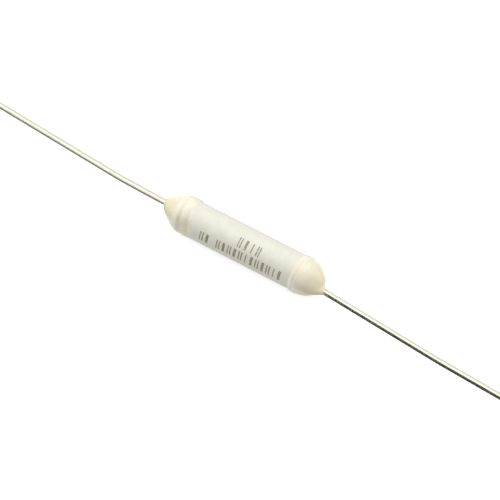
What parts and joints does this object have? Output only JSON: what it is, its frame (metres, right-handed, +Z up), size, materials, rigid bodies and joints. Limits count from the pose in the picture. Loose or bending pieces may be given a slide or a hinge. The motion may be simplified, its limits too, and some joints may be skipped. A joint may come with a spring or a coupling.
{
  "type": "thermal fuse",
  "caption": "Axial thermal fuse: a low-melting alloy link in a white ceramic tube, closed by ivory epoxy domes, with a tinned wire lead at each end.",
  "frame": {"origin": "middle of the ceramic tube, on its axis, which is also the part's centre of volume to within 0.2 mm", "axes": "+X along the tube towards the right-hand lead, +Z up as the part lies on a flat surface, +Y away from the picture's camera"},
  "size_m": [0.0928, 0.0062, 0.0038],
  "materials": {
    "ceramic": "satin",
    "epoxy": "satin",
    "tinned_wire": "gloss",
    "alloy": "satin",
    "flux": "gloss"
  },
  "bodies": {
    "root": {"ceramic_tube": "ceramic", "seal_left": "epoxy", "seal_right": "epoxy", "lead_left": "tinned_wire", "lead_right": "tinned_wire", "fusible_link": "alloy", "flux_coat": "flux"}
  },
  "joints": []
}
